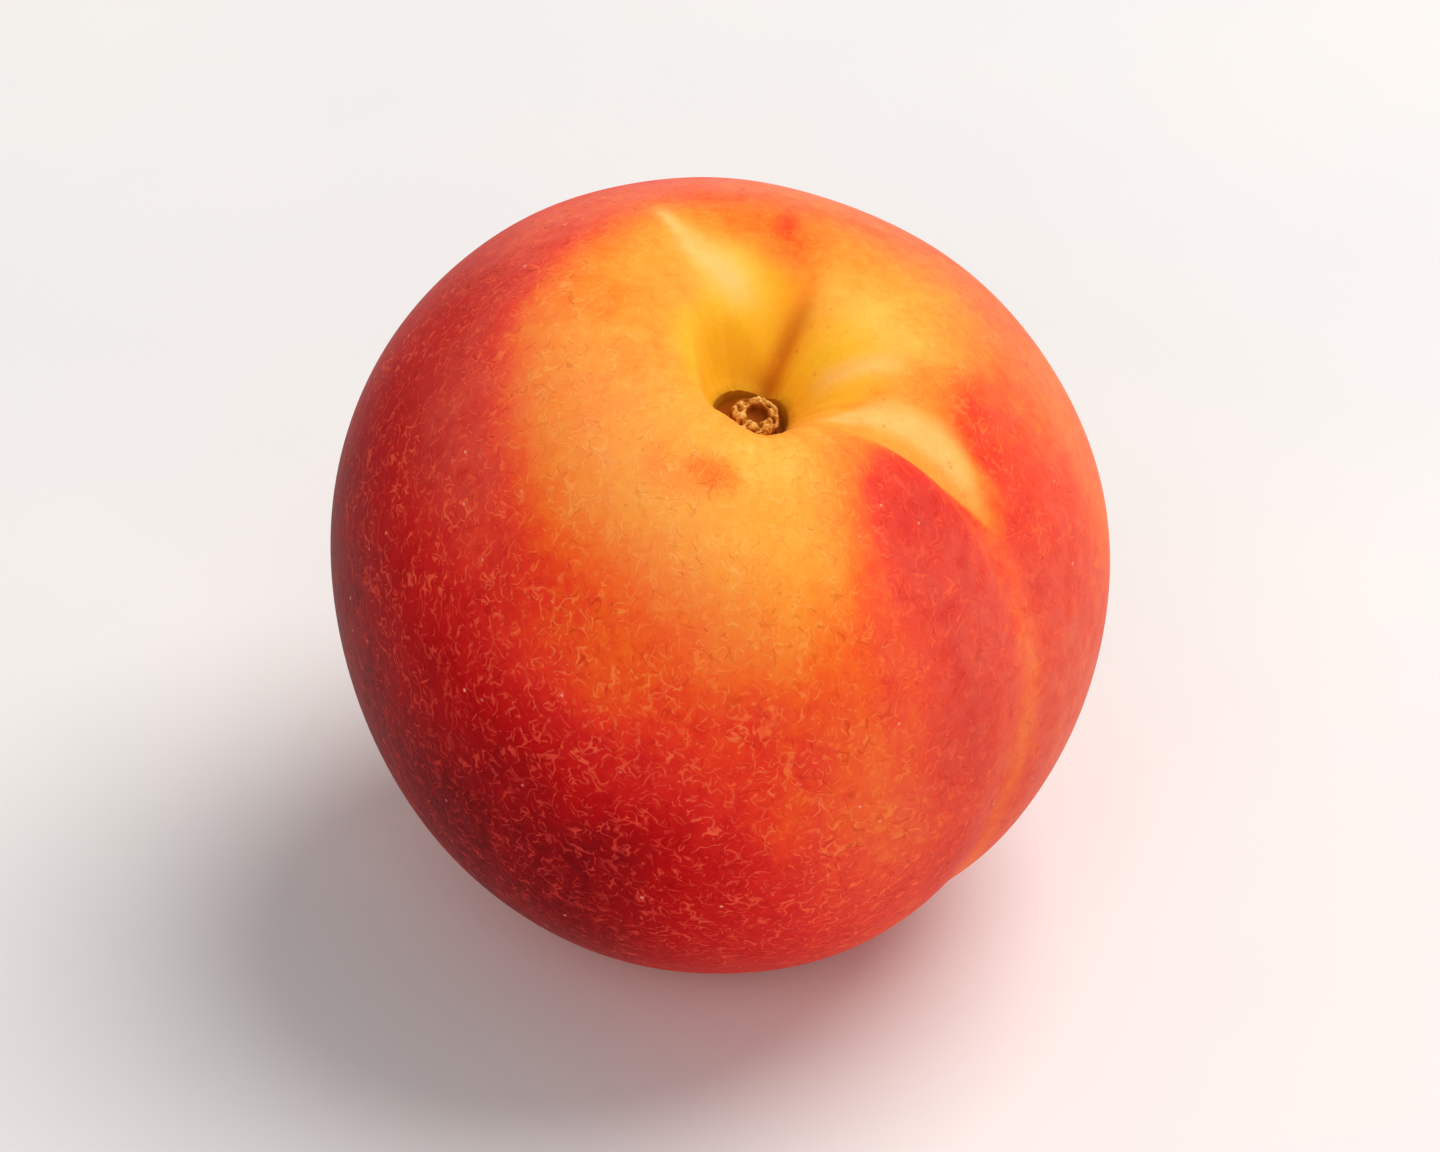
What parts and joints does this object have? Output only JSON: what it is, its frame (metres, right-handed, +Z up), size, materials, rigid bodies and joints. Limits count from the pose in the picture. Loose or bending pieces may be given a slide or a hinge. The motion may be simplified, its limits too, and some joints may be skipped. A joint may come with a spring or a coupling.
{
  "type": "nectarine",
  "caption": "Whole ripe nectarine with red and yellow skin, a suture and a stem cavity that holds the stem's woody stub; it rests on a small flat spot.",
  "frame": {"origin": "on the surface that the fruit rests on, under the middle of its box", "axes": "+Z up; the stem end leans 17 degrees towards -Y and 7 degrees towards +X, and the suture runs down the side between +X and -Y"},
  "size_m": [0.0604, 0.0618, 0.059],
  "materials": {
    "skin": "satin waxy fruit skin, crimson blush over yellow",
    "stem_wood": "dry fibrous wood"
  },
  "bodies": {
    "root": {"fruit": "skin", "stem_stub": "stem_wood"}
  },
  "joints": []
}
